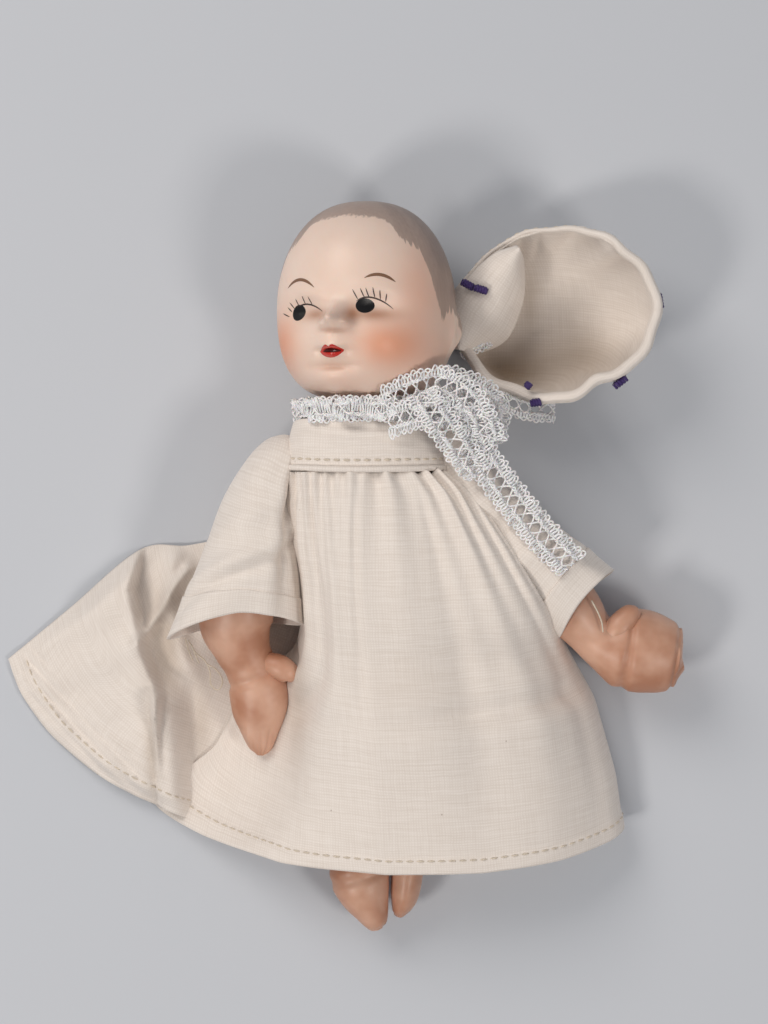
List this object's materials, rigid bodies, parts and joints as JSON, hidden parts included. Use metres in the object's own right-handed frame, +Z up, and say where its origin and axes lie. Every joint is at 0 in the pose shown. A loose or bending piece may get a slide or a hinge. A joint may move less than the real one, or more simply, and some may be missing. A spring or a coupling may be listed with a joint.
{
  "type": "jointed porcelain doll",
  "caption": "Small jointed bisque baby doll with painted face, calico dress and lace tie, lying on its back with its calico bonnet beside it.",
  "frame": {"origin": "centre of the floor outline, on the surface that the doll lies on", "axes": "+Y from the feet to the crown, +Z up out of the chest, +X towards the doll's left hand"},
  "size_m": [0.1366, 0.1464, 0.037],
  "materials": {
    "bisque": "satin unglazed bisque, tinted pink, with painted features",
    "wood": "plain turned",
    "wire": "plain",
    "elastic": "cotton-covered",
    "calico": "unbleached plain weave",
    "calico_hem": "unbleached plain weave, turned and stitched",
    "lace": "shiny white nylon",
    "floss": "stranded embroidery thread"
  },
  "bodies": {
    "body": {"torso": "bisque", "neck_elastic": "elastic", "arm_elastic": "elastic", "leg_elastic": "elastic", "yoke_front": "calico", "yoke_back": "calico", "yoke_seam": "calico_hem", "skirt_front": "calico", "skirt_back": "calico", "lace_collar": "lace", "lace_knot": "lace"},
    "head": {"head": "bisque", "neck_button": "wood", "neck_hook": "wire"},
    "arm_right": {"arm_right": "bisque", "arm_hook_right": "wire", "sleeve_right": "calico", "cuff_hem_right": "calico_hem"},
    "arm_left": {"arm_left": "bisque", "arm_hook_left": "wire", "sleeve_left": "calico", "cuff_hem_left": "calico_hem", "lace_tail": "lace"},
    "leg_right": {"leg_right": "bisque", "leg_hook_right": "wire"},
    "leg_left": {"leg_left": "bisque", "leg_hook_left": "wire"},
    "bonnet": {"bonnet_crown": "calico", "bonnet_rim": "calico_hem", "bonnet_flap": "calico", "bonnet_french_knots": "floss", "lace_bonnet_tie": "lace"}
  },
  "joints": [
    {"name": "neck_turn", "type": "hinge", "parent": "body", "child": "head", "pos_m": [0.005, 0.03, 0.0184], "axis": [0, 1, 0], "range_deg": [-42, 78]},
    {"name": "arm_right_swing", "type": "hinge", "parent": "body", "child": "arm_right", "pos_m": [-0.0083, 0.017, 0.014], "axis": [-1, 0, 0], "range_deg": [0, 125]},
    {"name": "arm_left_swing", "type": "hinge", "parent": "body", "child": "arm_left", "pos_m": [0.0183, 0.017, 0.014], "axis": [-1, 0, 0], "range_deg": [0, 90]},
    {"name": "leg_right_swing", "type": "hinge", "parent": "body", "child": "leg_right", "pos_m": [0.0014, -0.015, 0.0125], "axis": [-1, 0, 0], "range_deg": [0, 12]},
    {"name": "leg_left_swing", "type": "hinge", "parent": "body", "child": "leg_left", "pos_m": [0.0086, -0.015, 0.0125], "axis": [-1, 0, 0], "range_deg": [0, 12]},
    {"name": "bonnet_swing", "type": "hinge", "parent": "body", "child": "bonnet", "pos_m": [0.028, 0.033, 0.003], "axis": [0, 0, 1], "range_deg": [-12, 0]}
  ]
}
